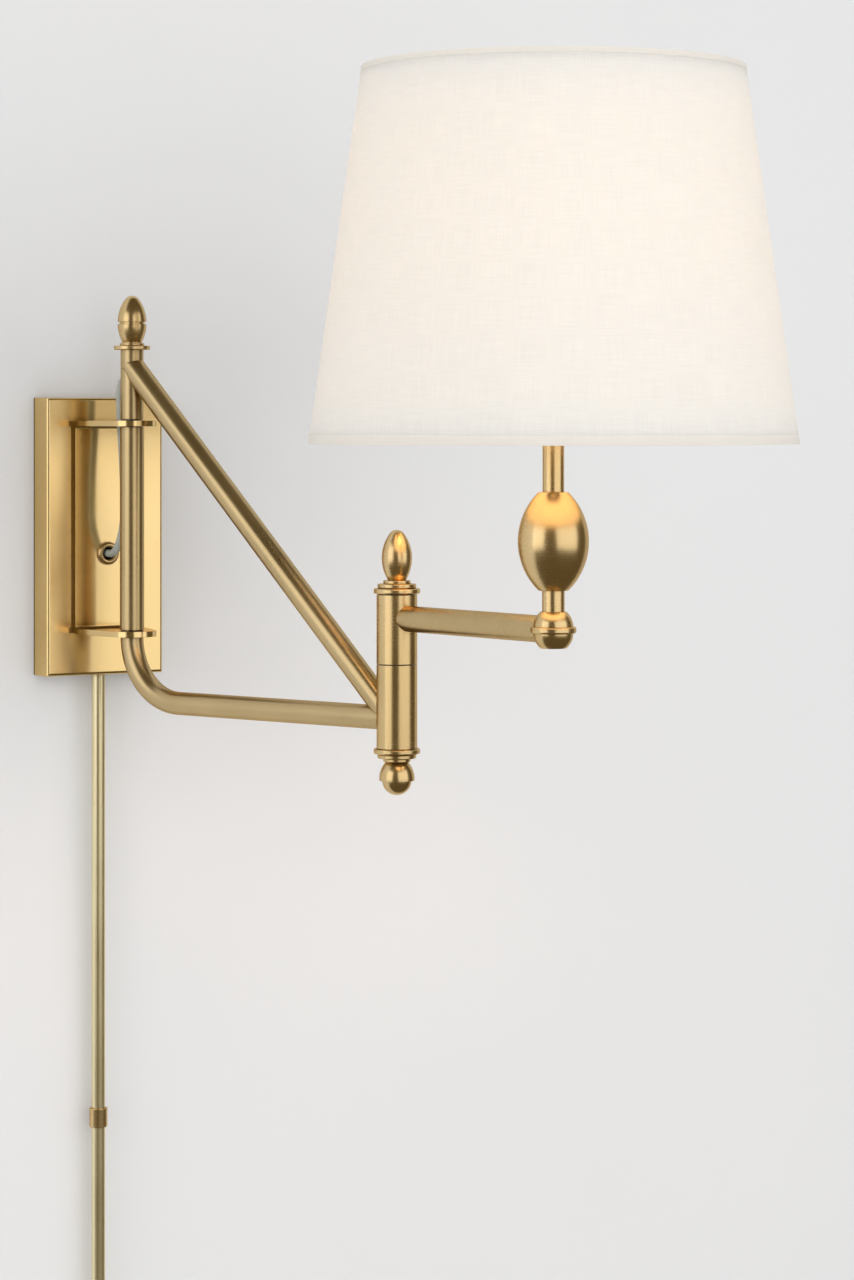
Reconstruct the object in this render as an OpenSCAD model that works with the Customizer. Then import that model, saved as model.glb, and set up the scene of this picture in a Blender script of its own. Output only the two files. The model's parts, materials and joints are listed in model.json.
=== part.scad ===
// Swing arm wall sconce: a wall plate with a cord cover, a braced inner arm on a
// vertical pivot, an outer arm on an elbow, and a tapered drum shade on a harp.
// The origin is the centre of the plate's back, on the wall. -Y leads away from the wall.

/* [Wall plate] */
// Width of the back plate
plate_w = 90; // [74:1:130]
// Height of the back plate
plate_h = 197; // [185:1:260]
// How far the back plate stands off the wall
plate_d = 23.5; // [22:0.5:32]
// Sheet thickness of the back plate
plate_wall = 1.6; // [1:0.1:2.4]
// Rounding of the plate's front edges
plate_edge_r = 2.2; // [1:0.1:3]
// Distance between the two wall screws
box_screw_pitch = 88.9; // [83:0.1:90]

/* [Bracket] */
// Width of the bracket at the plate
bracket_w = 50; // [42:1:64]
// Height of the bracket over its two flanges
bracket_h = 151; // [130:1:165]
// How far the bracket's middle is above the plate's middle
bracket_rise = 6.8; // [0:0.1:9]
// Thickness of the bracket's strap
bracket_t = 4; // [3:0.1:5]
// Outer radius of the bracket's bends
bracket_bend_r = 6; // [5.5:0.5:9]
// Radius of the flanges' round noses
nose_r = 17; // [14:0.5:20]
// Distance from the wall to the pivot's axis
pivot_reach = 68; // [62:1:90]

/* [Arms] */
// Outer radius of the inner arm's tubes
tube_r = 8; // [7.5:0.1:10]
// Wall thickness of all the tubes
tube_wall = 1.4; // [1:0.1:1.6]
// Distance from the pivot's axis to the elbow's axis
inner_len = 236.4; // [190:1:300]
// Angle of the inner arm from straight out
inner_angle = 22.2; // [0:0.1:40]
// Radius of the bend in the lower arm tube
bend_r = 44; // [36:1:56]
// Length of the pivot's upper tube
upper_tube_h = 48.6; // [44:0.2:64]
// Distance from the elbow's axis to the stem's axis
outer_len = 160.6; // [120:1:210]
// Angle of the outer arm from straight out
outer_angle = 7.7; // [0:0.1:40]
// Outer radius of the outer arm's tube
outer_tube_r = 8.5; // [8:0.1:10]

/* [Elbow] */
// Radius of the elbow's barrels
barrel_r = 13.4; // [12.4:0.1:16]
// Height of the lower barrel
lower_barrel_h = 54.9; // [50:0.1:70]
// Height of the upper barrel
upper_barrel_h = 45.3; // [40:0.1:60]

/* [Stem] */
// Largest radius of the hub
hub_r = 12.4; // [11.6:0.1:16]
// Largest radius of the egg
egg_r = 22.1; // [18:0.1:27]
// Height of the egg
egg_h = 61; // [52:0.5:76]
// Height of the neck between the hub and the egg
neck_h = 13.2; // [8:0.2:20]
// Height of the plain stem above the egg
stem_h = 46; // [30:0.5:70]

/* [Shade] */
// Outer radius of the shade's bottom rim
shade_bottom_r = 152.4; // [130:0.2:185]
// Outer radius of the shade's top rim
shade_top_r = 119.4; // [96:0.2:145]
// Height of the shade
shade_h = 234; // [205:1:282]
// Thickness of the lined linen
shade_t = 1.2; // [0.8:0.1:2]
// Height of the harp over its saddle
harp_h = 203; // [190:1:245]
// Largest radius of the bulb
bulb_r = 30; // [24:0.5:34]

/* [Cord cover] */
// Outer radius of the cord cover
cover_r = 4.75; // [4:0.05:6]
// Length of each of the cord cover's two tubes
cover_len = 329; // [180:1:420]
// Distance from the wall to the cord cover's axis
cover_reach = 11.5; // [9:0.1:12]

/* [Hidden] */
$fn = 96;

// Clearances
run_gap = 0.06;      // round parts that turn in each other
slip_gap = 0.05;     // round parts that are pushed together
face_gap = 0.1;      // flat faces of bodies that turn on each other
screw_gap = 0.2;     // round a screw's shank, and past its tip
cut = 1;             // how far a cutting tool runs past what it cuts

// Turned edges
fine_edge = 0.5;
disc_edge = 0.6;
ring_edge = 0.9;
edge_fn = 32;
wide_fn = 180;

// Wall plate and bracket
plate_in_w = plate_w - 2 * plate_wall;
plate_in_h = plate_h - 2 * plate_wall;
strap_t = 2;                       // sheet of the mounting plate
lip_d = 13;                        // depth of the mounting plate's lips
wall_screw_slot_r = 2.4;
wall_screw_slot_len = 14;
side_screw_x = 28;
side_screw_r = 1.7;
side_screw_y = -8;
screw_slot_w = 0.8;
screw_slot_d = 0.7;
bracket_top = bracket_rise + bracket_h / 2;
bracket_bottom = bracket_rise - bracket_h / 2;
panel_front = -plate_d - bracket_t;
bracket_screw_r = 2;
bracket_screw_head_r = 3.6;
bracket_screw_inset = 20;          // from the bracket's ends to its screws
bracket_screw_bite = 3;
bracket_screw_zs = [bracket_top - bracket_screw_inset, bracket_bottom + bracket_screw_inset];
grommet_z = -12;
grommet_hole_r = 4.2;
grommet_sleeve_r = 5.6;
grommet_r = 8.3;
clamp_gap = 2.4;                   // from the plate's inner face to the cord clamp

// Cord from the pivot's upper tube, down behind the pivot and through the grommet
cord_r = 2.75;
cord_sides = 10;
flange_cord_hole_r = 3.9;
cord_exit_z = 112;
cord_route = [
    [0, -58.5, 112], [0, -56.5, 112], [0, -53.6, 111.3], [0, -50.8, 109.4], [0, -48.8, 106.4],
    [0, -47.9, 102.5], [0, -47.8, 97], [0, -48.2, 90], [0, -49.1, 80.4], [0, -50.6, 70],
    [0, -52.2, 58], [0, -53.6, 45], [0, -54.6, 32], [0, -54.8, 20], [0, -53.6, 10],
    [0, -50.6, 2], [0, -46, -5], [0, -40.4, -9.6], [0, -34.8, -11.7], [0, -29, -12],
    [0, -24, -12], [0, -19.5, -12]
];

// Pivot
spindle_r = 5;
bushing_r = 6.2;
bushing_flange_r = tube_r - 0.5;    // nearly as wide as the tube ends that run on it
top_bushing_t = 0.9;
thin_bushing_t = 0.5;
low_bushing_t = 0.7;
mid_tube_r = tube_r + 0.5;
upper_tube_bottom = bracket_top + top_bushing_t + face_gap;
upper_tube_top = upper_tube_bottom + upper_tube_h;
mid_tube_top = bracket_top - bracket_t - thin_bushing_t - face_gap;
mid_tube_bottom = bracket_bottom + bracket_t + thin_bushing_t + face_gap;
arm_tube_top = bracket_bottom - low_bushing_t - face_gap;
arm_z = arm_tube_top - bend_r;
tube_in_r = tube_r - tube_wall;
plug_h = 14;
top_plug_h = 8;
root_plug_turn = 15;               // degrees of the bend that the root plug fills
root_stud_h = 8;
root_stud_r = 4;
finial_stud_r = 3;
pivot_washer_r = 12.6;
pivot_washer_h = 2.8;
pivot_collar_r = 8.5;
pivot_collar_h = 1.9;
pivot_finial_r = 10.1;
pivot_finial_dome_h = 19.1;        // above the groove
pivot_finial_tip_r = 5.9;
pivot_finial_cup_h = 13.4;         // below the groove
pivot_finial_foot_r = 6.8;
pivot_groove_r = 8.7;
pivot_groove_h = 1.8;
exit_hole_r = 3.6;
exit_bore_r = 2.2;
exit_reach = 9.2;                  // from the pivot's axis to the exit bushing's round face

// Brace
brace_r = tube_r + 0.3;
brace_in_r = brace_r - tube_wall;
brace_top_z = upper_tube_bottom + 37.5;
brace_foot_z = arm_z - 4.1;
brace_fall = brace_top_z - brace_foot_z;
brace_len = norm([inner_len, brace_fall]);
brace_tilt = 90 + atan2(brace_fall, inner_len);
lead_r = 2.2;
lead_branch_r = lead_r - 0.15;     // the lead's slanted and level runs

// Elbow
elbow_x = inner_len * sin(inner_angle);
elbow_y = -pivot_reach - inner_len * cos(inner_angle);
barrel_in_r = barrel_r - 2.4;
barrel_end_t = 5;
lower_barrel_bottom = arm_z - 19.4;
lower_barrel_top = lower_barrel_bottom + lower_barrel_h;
elbow_washer_t = 0.6;
elbow_washer_r = barrel_r - 2.2;
upper_barrel_bottom = lower_barrel_top + elbow_washer_t + face_gap;
upper_barrel_top = upper_barrel_bottom + upper_barrel_h;
outer_z = upper_barrel_bottom + 29.9;
elbow_bushing_h = 6;
elbow_ring_r = barrel_r + 1.9;
elbow_ring_t = 3.4;
elbow_ring_step = 0.3;             // height of the shadow line next to a ring
elbow_disc_r = barrel_r - 0.7;
elbow_step_r = elbow_disc_r - 1;
elbow_disc_t = 2.7;
elbow_collar_r = 9;
elbow_collar_h = 2.3;
top_ring_bottom = upper_barrel_top + face_gap + elbow_washer_t;
top_disc_bottom = top_ring_bottom + elbow_ring_t;
top_stack_top = top_disc_bottom + elbow_ring_step + elbow_disc_t + elbow_collar_h;
bottom_ring_top = lower_barrel_bottom - elbow_ring_step;
bottom_disc_top = bottom_ring_top - elbow_ring_t;
bottom_stack_end = bottom_disc_top - elbow_ring_step - elbow_disc_t - elbow_collar_h;
elbow_finial_r = 10;
elbow_finial_a = 18.5;             // half of the whole oval's height
elbow_finial_cut = 14.6;           // from the oval's middle down to its flat foot
elbow_finial_tip_r = 6;
elbow_thread_h = 8;
acorn_lip_r = 11.6;
acorn_cap_r = 7.2;
acorn_cap_h = 11.2;
acorn_lip_h = 1.1;
acorn_ball_r = 9.6;
spindle_bore_r = 3.4;
window_w = 5;
window_h = 16;

// Stem, measured up from the outer arm's axis
stem_x = elbow_x + outer_len * sin(outer_angle);
stem_y = elbow_y - outer_len * cos(outer_angle);
pipe_r = 4.9;
pipe_bore_r = 3.8;
sleeve_bore_r = pipe_r + slip_gap;
hub_half_h = 11.3;
hub_ring_r = hub_r + 1.9;
hub_ring_h = 4;
hub_ring_edge = 1.1;
hub_shell_t = 2.2;
neck_r = 7;
neck_bottom = hub_half_h;
egg_bottom = neck_bottom + neck_h;
egg_end_r = 9.3;
egg_shell_t = 1.6;
stem_bottom = egg_bottom + egg_h;
stem_top = stem_bottom + stem_h;
stem_r = 6.7;

// Harp, socket and bulb, measured up from the outer arm's axis
saddle_t = 1.6;
saddle_w = 12;
saddle_half = 26;
saddle_arm_h = 12;
harp_wire_r = 2;
harp_half = 52;
ferrule_r = 3.2;
ferrule_h = 7;
harp_seat_r = 6;
harp_seat_h = 4;
harp_seat_cover = 0.6;             // brass over the wire at the harp's top
harp_top = stem_top + harp_h;
harp_round_z = harp_top - harp_wire_r - harp_seat_cover - harp_half;
harp_foot_z = stem_top + saddle_t + saddle_arm_h;
harp_curve_r = 60;
harp_curve_turn = acos(1 - (harp_half - saddle_half) / harp_curve_r);
harp_curve_z = harp_foot_z + ferrule_h / 2 + harp_curve_r * sin(harp_curve_turn);
harp_stud_r = 3;
harp_stud_h = 12;
harp_knob_flange_r = 8;
harp_knob_flange_h = 2.4;
harp_knob_neck_r = 4.4;
harp_knob_neck_h = 2;
harp_knob_r = 7;
harp_knob_a = 8;                   // half of the knob's height
harp_knob_tip_r = 5;
harp_knob_sink = 1;                // how much is cut off the knob's foot
harp_knob_z = harp_knob_flange_h + harp_knob_neck_h + harp_knob_a - 2 * harp_knob_sink;
socket_bottom = stem_top + saddle_t;
socket_r = 16.4;
socket_cap_h = 15;
socket_wall = 0.7;
socket_h = 55;
socket_neck_r = 8;
socket_step_h = 3;                 // straight part below and above the cap's shoulder
core_h = 16;
core_r = 14.6;
screw_shell_r = 14.2;
screw_shell_t = 0.5;
screw_shell_h = 26;
core_bottom = socket_bottom + 12;
bulb_bottom = core_bottom + core_h + 1;
bulb_base_r = 13;
bulb_base_h = 25;
bulb_base_wall = 2;
bulb_tip_r = 5;
bulb_tip_top_r = 9;
bulb_tip_h = 3;
bulb_len = 108;
glass_t = 0.8;
glass_neck_h = 3;
glass_seam = 0.1;                  // how far the cone stays inside the ball where they meet
key_z = core_bottom + core_h / 2;
key_shaft_r = 2;
key_hole_r = 2.6;
key_r = 6;
key_len = 9;
key_start = socket_r + 8;
key_depth = 10;
key_edge = 0.8;
key_flute_r = 1;
key_flute_reach = key_r + 0.4;     // from the key's axis to each flute's axis
key_flute_turn = 30;

// Shade
shade_bottom = stem_top - 16;
shade_top = shade_bottom + shade_h;
shade_slope = atan2(shade_bottom_r - shade_top_r, shade_h);
shade_wire_r = 1.6;
washer_r = 12;
washer_t = 1.6;
washer_z = harp_top;
hem_drop = 2.6;                    // from a rim to the middle of its wire
spider_arm_turn = 120;
spider_first_arm = 30;

// Cord cover
cover_wall = 0.85;
cover_top = -plate_h / 2 + 12;
coupling_z = cover_top - cover_len;
coupling_r = cover_r + 1.65;
coupling_h = 13.5;
cover_bottom = coupling_z - cover_len;
cover_bushing_h = 8;
cover_bushing_bore_r = 3.3;
cover_lip_notch_w = 20;
cover_nut_r = 8;
cover_nut_h = 5;

// Plate and grommet details
strap_w = plate_in_w - 2.8;
strap_h = plate_in_h - 0.2;
ground_screw_x = 24;
ground_screw_head_r = 3.6;
ground_screw_head_h = 2;
side_screw_len = 7;
bracket_screw_head_h = 2.2;
flange_depth = pivot_reach + nose_r - plate_d + 1;
flange_square_y = plate_d + bracket_bend_r + 2;
nose_reach = norm([bracket_w / 2, pivot_reach - flange_square_y]);
nose_touch = atan2(pivot_reach - flange_square_y, bracket_w / 2) - acos(nose_r / nose_reach);
grommet_lip_w = 1.8;
grommet_rim_h = 0.9;
clamp_depth = 5;
clamp_w = 16;
clamp_bottom = 6;                  // below the cord
clamp_top = 13;                    // above the cord
clamp_foot_w = 3;
clamp_foot_h = 6;
cover_bushing_rim_h = 1.5;
mid_tube_end_h = 6;
lead_hole_r = 4;
lead_stop = 7.5;                   // from the elbow's axis to the end of a lead
finial_stud_h = 9;
pivot_neck_r = 7;
pivot_neck_h = 0.6;
pivot_finial_z = pivot_collar_h + pivot_neck_h + pivot_finial_cup_h;
acorn_arc_r = (acorn_cap_h * acorn_cap_h + (acorn_lip_r - acorn_cap_r) * (acorn_lip_r - acorn_cap_r))
    / (2 * (acorn_lip_r - acorn_cap_r));
hub_tube_stop = 6;                 // from the stem's axis to the end of the outer arm's tube
pipe_bottom = -6.5;
egg_floor_t = 2.5;
core_lip_h = 3;
wire_inset = (shade_t + shade_wire_r) / cos(shade_slope);
hem_spread = hem_drop * tan(shade_slope);
bottom_wire_ring_r = shade_bottom_r - hem_spread - wire_inset;
top_wire_ring_r = shade_top_r + hem_spread - wire_inset;
spider_wire_r = 0.7 * washer_t;
spider_fall = shade_top - hem_drop - washer_z - washer_t / 2;
spider_start_r = top_wire_ring_r - shade_wire_r;
spider_overlap = 2;                // how far the arms run in over the washer
spider_reach = spider_start_r - washer_r + spider_overlap;
spider_tilt = atan2(spider_fall, spider_reach);
spider_arm_len = norm([spider_reach, spider_fall]);

// Colours
BRASS = [0.78, 0.64, 0.38];
STEEL = [0.7, 0.71, 0.72];
NYLON = [0.9, 0.89, 0.85];
ACETAL = [0.15, 0.15, 0.15];
LINEN = [0.97, 0.96, 0.92];

// Places
module at_pivot(z = 0) translate([0, -pivot_reach, z]) children();
module at_elbow(z = 0) translate([elbow_x, elbow_y, z]) children();
module at_stem(z = 0) translate([stem_x, stem_y, outer_z + z]) children();
module along_inner() at_pivot() rotate([0, 0, inner_angle - 90]) children();
module along_outer() at_elbow() rotate([0, 0, outer_angle - 90]) children();
module brace_line() along_inner() translate([0, 0, brace_top_z]) rotate([0, brace_tilt, 0]) children();

// Shapes
module tube(outer_r, inner_r, h) {
    difference() {
        cylinder(r = outer_r, h = h);
        translate([0, 0, -cut]) cylinder(r = inner_r, h = h + 2 * cut);
    }
}

// Rod or disc with slightly rounded edges
module soft_disc(r, h, edge) {
    rotate_extrude() {
        square([r - edge, h]);
        translate([0, edge]) square([r, h - 2 * edge]);
        translate([r - edge, edge]) circle(r = edge, $fn = edge_fn);
        translate([r - edge, h - edge]) circle(r = edge, $fn = edge_fn);
    }
}

// Half outline of an oval standing on the axis: half width b, half height a
module oval_outline(b, a, tip_r) {
    side_r = (b * b + (a - tip_r) * (a - tip_r) - tip_r * tip_r) / (2 * (b - tip_r));
    join_z = side_r * (a - tip_r) / (side_r - tip_r);
    intersection() {
        union() {
            intersection() {
                translate([b - side_r, 0]) circle(r = side_r, $fn = wide_fn);
                translate([0, -join_z]) square([b + cut, 2 * join_z]);
            }
            translate([0, a - tip_r]) circle(r = tip_r, $fn = 64);
            translate([0, tip_r - a]) circle(r = tip_r, $fn = 64);
        }
        translate([0, -a - cut]) square([b + cut, 2 * a + 2 * cut]);
    }
}

// Half outline of a barrel shape: half width b in the middle, end_b at both ends
module arc_outline(b, end_b, half_h) {
    arc_r = (half_h * half_h + (b - end_b) * (b - end_b)) / (2 * (b - end_b));
    intersection() {
        translate([b - arc_r, 0]) circle(r = arc_r, $fn = wide_fn);
        translate([0, -half_h]) square([b + cut, 2 * half_h]);
    }
}

// Driver slot across a screw whose outer end is at z = 0
module screw_slot(r) translate([-r, -screw_slot_w / 2, -cut]) cube([2 * r, screw_slot_w, cut + screw_slot_d]);

// Machine screw that points up: its head's top is at z = 0 and its tip at z = head_h + shank_h
module screw(r, shank_h, head_r, head_h) {
    difference() {
        cylinder(r = head_r, h = head_h);
        screw_slot(head_r);
    }
    translate([0, 0, head_h]) cylinder(r = r, h = shank_h);
}

// Half outline of a pressed box: w wide, d deep, with its front corners rounded
module box_outline(w, d, r) {
    translate([-w / 2, r - d]) square([w, d - r]);
    translate([r - w / 2, -d]) square([w - 2 * r, d]);
    for (x = [r - w / 2, w / 2 - r]) translate([x, r - d]) circle(r = r, $fn = 48);
}

// Extrudes an outline drawn with Y across and Z up along the X axis, centred on it
module across(w) translate([-w / 2, 0, 0]) rotate([90, 0, 90]) linear_extrude(w) children();

// A tool along Y through the plate and the bracket
module front_hole(z, r) translate([0, cut, z]) rotate([90, 0, 0])
    cylinder(r = r, h = plate_d + bracket_t + 2 * cut);

module side_screw_holes(r, from_z, h) {
    for (x = [-side_screw_x, side_screw_x], end = [0, 1])
        mirror([0, 0, end]) translate([x, side_screw_y, from_z]) cylinder(r = r, h = h);
}

// Wall plate
module backplate() color(BRASS) difference() {
    intersection() {
        translate([0, 0, -plate_h / 2]) linear_extrude(plate_h)
            box_outline(plate_w, plate_d, plate_edge_r);
        across(plate_w) rotate(-90) box_outline(plate_h, plate_d, plate_edge_r);
    }
    translate([-plate_in_w / 2, plate_wall - plate_d, -plate_in_h / 2])
        cube([plate_in_w, plate_d, plate_in_h]);
    translate([0, -cover_reach, -plate_h / 2 - cut])
        cylinder(r = cover_r + slip_gap, h = plate_wall + 2 * cut);
    side_screw_holes(side_screw_r + slip_gap, plate_in_h / 2 - cut, plate_wall + 2 * cut);
    for (z = bracket_screw_zs) front_hole(z, bracket_screw_r + screw_gap);
    front_hole(grommet_z, grommet_sleeve_r + slip_gap);
}

module mounting_plate() color(STEEL) difference() {
    union() {
        translate([-strap_w / 2, -strap_t, -strap_h / 2]) cube([strap_w, strap_t, strap_h]);
        for (end = [0, 1]) mirror([0, 0, end])
            translate([-strap_w / 2, -lip_d, strap_h / 2 - strap_t])
                cube([strap_w, lip_d, strap_t]);
    }
    for (z = [-box_screw_pitch / 2, box_screw_pitch / 2]) translate([0, 0, z]) wall_screw_slot();
    side_screw_holes(side_screw_r, strap_h / 2 - strap_t - cut, strap_t + 2 * cut);
    translate([-cover_lip_notch_w / 2, -lip_d - cut, -strap_h / 2 - cut])
        cube([cover_lip_notch_w, lip_d + cut - strap_t, strap_t + 2 * cut]);
    translate([ground_screw_x, cut, 0]) rotate([90, 0, 0])
        cylinder(r = side_screw_r, h = strap_t + 2 * cut);
}

module wall_screw_slot() {
    half = wall_screw_slot_len / 2 - wall_screw_slot_r;
    rotate([90, 0, 0]) translate([0, 0, -cut]) linear_extrude(strap_t + 2 * cut) {
        for (y = [-half, half]) translate([0, y]) circle(r = wall_screw_slot_r);
        translate([-wall_screw_slot_r, -half]) square([2 * wall_screw_slot_r, 2 * half]);
    }
}

// Headless set screws, flush with the plate's top and bottom walls, through the mounting plate's lips
module plate_screws() color(BRASS)
    for (x = [-side_screw_x, side_screw_x], end = [0, 1]) mirror([0, 0, end])
        translate([x, side_screw_y, plate_h / 2]) mirror([0, 0, 1]) difference() {
            cylinder(r = side_screw_r, h = side_screw_len);
            screw_slot(side_screw_r + cut);
        }

module ground_screw() color([0.2, 0.55, 0.3])
    translate([ground_screw_x, -strap_t - ground_screw_head_h, 0]) rotate([-90, 0, 0])
        screw(side_screw_r, strap_t - screw_gap, ground_screw_head_r, ground_screw_head_h);

// Bracket
module strap_outline(h, depth, r) {
    translate([-depth, -h / 2]) square([depth - r, h]);
    translate([-r - cut, r - h / 2]) square([r + cut, h - 2 * r]);
    for (y = [r - h / 2, h / 2 - r]) translate([-r, y]) circle(r = r, $fn = 64);
}

// The flanges' outline from above: straight from the plate to a round nose
module flange_outline() {
    translate([0, -pivot_reach]) circle(r = nose_r);
    polygon([
        [-bracket_w / 2, -plate_d], [-bracket_w / 2, -flange_square_y],
        [-nose_r * cos(nose_touch), -pivot_reach + nose_r * sin(nose_touch)],
        [nose_r * cos(nose_touch), -pivot_reach + nose_r * sin(nose_touch)],
        [bracket_w / 2, -flange_square_y], [bracket_w / 2, -plate_d]
    ]);
}

module bracket() color(BRASS) difference() {
    intersection() {
        across(bracket_w) translate([-plate_d, bracket_rise]) difference() {
            strap_outline(bracket_h, flange_depth, bracket_bend_r);
            translate([-bracket_t, 0])
                strap_outline(bracket_h - 2 * bracket_t, flange_depth, bracket_bend_r - bracket_t);
        }
        translate([0, 0, bracket_bottom - cut]) linear_extrude(bracket_h + 2 * cut) flange_outline();
    }
    at_pivot(bracket_bottom - cut) cylinder(r = bushing_r, h = bracket_h + 2 * cut);
    translate([0, cord_route[8][1], bracket_top - bracket_t - cut])
        cylinder(r = flange_cord_hole_r, h = bracket_t + 2 * cut);
    for (z = bracket_screw_zs) translate([0, cut - plate_d, z]) rotate([90, 0, 0])
        cylinder(r = bracket_screw_r, h = bracket_screw_bite + cut);
    front_hole(grommet_z, grommet_sleeve_r + slip_gap);
}

module bracket_screws() color(STEEL) for (z = bracket_screw_zs)
    translate([0, plate_wall - plate_d + bracket_screw_head_h, z]) rotate([90, 0, 0])
        screw(bracket_screw_r, plate_wall + bracket_screw_bite - screw_gap,
            bracket_screw_head_r, bracket_screw_head_h);

// Acetal bushings in the flanges, and thin washers on the flanges' inner sides
module pivot_bushings() color(ACETAL) {
    at_pivot(bracket_top) tube(bushing_flange_r, spindle_r + run_gap, top_bushing_t);
    at_pivot(bracket_top - bracket_t + face_gap)
        tube(bushing_r, spindle_r + run_gap, bracket_t - face_gap);
    at_pivot(mid_tube_top + face_gap) tube(bushing_flange_r, spindle_r + run_gap, thin_bushing_t);
    at_pivot(bracket_bottom + bracket_t) tube(bushing_flange_r, spindle_r + run_gap, thin_bushing_t);
    at_pivot(bracket_bottom) tube(bushing_r, spindle_r + run_gap, bracket_t - face_gap);
    at_pivot(arm_tube_top + face_gap) tube(bushing_flange_r, spindle_r + run_gap, low_bushing_t);
}

// Brass grommet: a sleeve through the bracket and the plate, a rim, and a rolled lip
module grommet() color(BRASS) translate([0, panel_front, grommet_z]) rotate([90, 0, 0]) {
    sleeve_h = plate_wall + bracket_t;
    translate([0, 0, -sleeve_h]) tube(grommet_sleeve_r, grommet_hole_r, sleeve_h);
    tube(grommet_r, grommet_hole_r, grommet_rim_h);
    rotate_extrude() intersection() {
        translate([grommet_hole_r + grommet_lip_w, grommet_rim_h]) circle(r = grommet_lip_w, $fn = 48);
        translate([grommet_hole_r, grommet_rim_h / 2]) square(2 * grommet_lip_w);
    }
}

// Clamp that grips the lamp cord inside the plate: a block on two feet
module cord_clamp() color([0.15, 0.15, 0.15]) translate([0, plate_wall - plate_d, grommet_z]) difference() {
    union() {
        translate([-clamp_w / 2, clamp_gap, -clamp_bottom])
            cube([clamp_w, clamp_depth, clamp_bottom + clamp_top]);
        for (x = [-clamp_w / 2, clamp_w / 2 - clamp_foot_w])
            translate([x, 0, clamp_top - clamp_foot_h])
                cube([clamp_foot_w, clamp_gap + clamp_depth, clamp_foot_h]);
    }
    translate([0, -cut, 0]) rotate([-90, 0, 0])
        cylinder(r = exit_bore_r, h = clamp_gap + clamp_depth + 2 * cut);
}

// Cord cover
module cord_cover_nut() color(BRASS) translate([0, -cover_reach, -plate_in_h / 2])
    tube(cover_nut_r, cover_r + slip_gap, cover_nut_h);

module cord_cover_upper() color(BRASS) translate([0, -cover_reach, coupling_z])
    tube(cover_r, cover_r - cover_wall, cover_top - coupling_z);

module cord_cover_lower() color(BRASS) translate([0, -cover_reach, cover_bottom])
    tube(cover_r, cover_r - cover_wall, coupling_z - cover_bottom);

module cord_cover_coupling() color(BRASS)
    translate([0, -cover_reach, coupling_z - coupling_h / 2]) difference() {
        soft_disc(coupling_r, coupling_h, fine_edge);
        translate([0, 0, -cut]) cylinder(r = cover_r + slip_gap, h = coupling_h + 2 * cut);
    }

module cord_cover_bushing() color(NYLON) translate([0, -cover_reach, cover_bottom]) {
    tube(cover_r - cover_wall - slip_gap, cover_bushing_bore_r, cover_bushing_h);
    translate([0, 0, -cover_bushing_rim_h]) tube(cover_r, cover_bushing_bore_r, cover_bushing_rim_h);
}

// Lamp cord, swept along its route
function unit(v) = v / norm(v);
function heading(p, i) = unit(p[min(i + 1, len(p) - 1)] - p[max(i - 1, 0)]);
function ring(p, i) = let (u = [1, 0, 0], v = cross(heading(p, i), u))
    [for (k = [0 : cord_sides - 1]) let (a = 360 * k / cord_sides) p[i] + cord_r * (cos(a) * u + sin(a) * v)];

module lamp_cord() color([0.8, 0.84, 0.8]) {
    rings = len(cord_route);
    points = [for (i = [0 : rings - 1]) each ring(cord_route, i)];
    start_face = [for (k = [0 : cord_sides - 1]) k];
    end_face = [for (k = [cord_sides - 1 : -1 : 0]) (rings - 1) * cord_sides + k];
    sides = [for (i = [0 : rings - 2], k = [0 : cord_sides - 1]) let (m = (k + 1) % cord_sides)
        [i * cord_sides + k, (i + 1) * cord_sides + k, (i + 1) * cord_sides + m, i * cord_sides + m]];
    polyhedron(points, concat([start_face, end_face], sides));
}

// Pivot
module pivot_spindle() color(STEEL) {
    at_pivot(arm_tube_top) cylinder(r = spindle_r, h = upper_tube_bottom + plug_h - arm_tube_top);
    at_pivot(arm_tube_top - root_stud_h) cylinder(r = root_stud_r, h = root_stud_h);
}

// Spacer between the flanges, with a thick turned end at the top and the bottom
module pivot_mid_tube() color(BRASS) at_pivot(mid_tube_bottom) difference() {
    cylinder(r = mid_tube_r, h = mid_tube_top - mid_tube_bottom);
    translate([0, 0, -cut]) cylinder(r = spindle_r + slip_gap, h = bracket_h);
    translate([0, 0, mid_tube_end_h])
        cylinder(r = mid_tube_r - tube_wall, h = mid_tube_top - mid_tube_bottom - 2 * mid_tube_end_h);
}

module exit_hole(r) at_pivot(cord_exit_z) rotate([-90, 0, 0]) cylinder(r = r, h = tube_r + 2 * cut);

module pivot_upper_tube() color(BRASS) difference() {
    at_pivot(upper_tube_bottom) tube(tube_r, tube_in_r, upper_tube_h);
    exit_hole(exit_hole_r + slip_gap);
    brace_line() cylinder(r = lead_hole_r, h = 3 * tube_r);
}

// Threaded plugs in the upper tube: the lower holds the spindle, the upper the finial's stud
module upper_tube_plugs() color(BRASS) {
    at_pivot(upper_tube_bottom) tube(tube_in_r, spindle_r, plug_h);
    at_pivot(upper_tube_top - top_plug_h) cylinder(r = tube_in_r, h = top_plug_h);
    at_pivot(upper_tube_top) cylinder(r = finial_stud_r, h = pivot_washer_h + pivot_collar_h + finial_stud_h);
}

module pivot_washer() color(BRASS) at_pivot(upper_tube_top) difference() {
    soft_disc(pivot_washer_r, pivot_washer_h, fine_edge);
    translate([0, 0, -cut]) cylinder(r = finial_stud_r + slip_gap, h = pivot_washer_h + 2 * cut);
}

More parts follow.
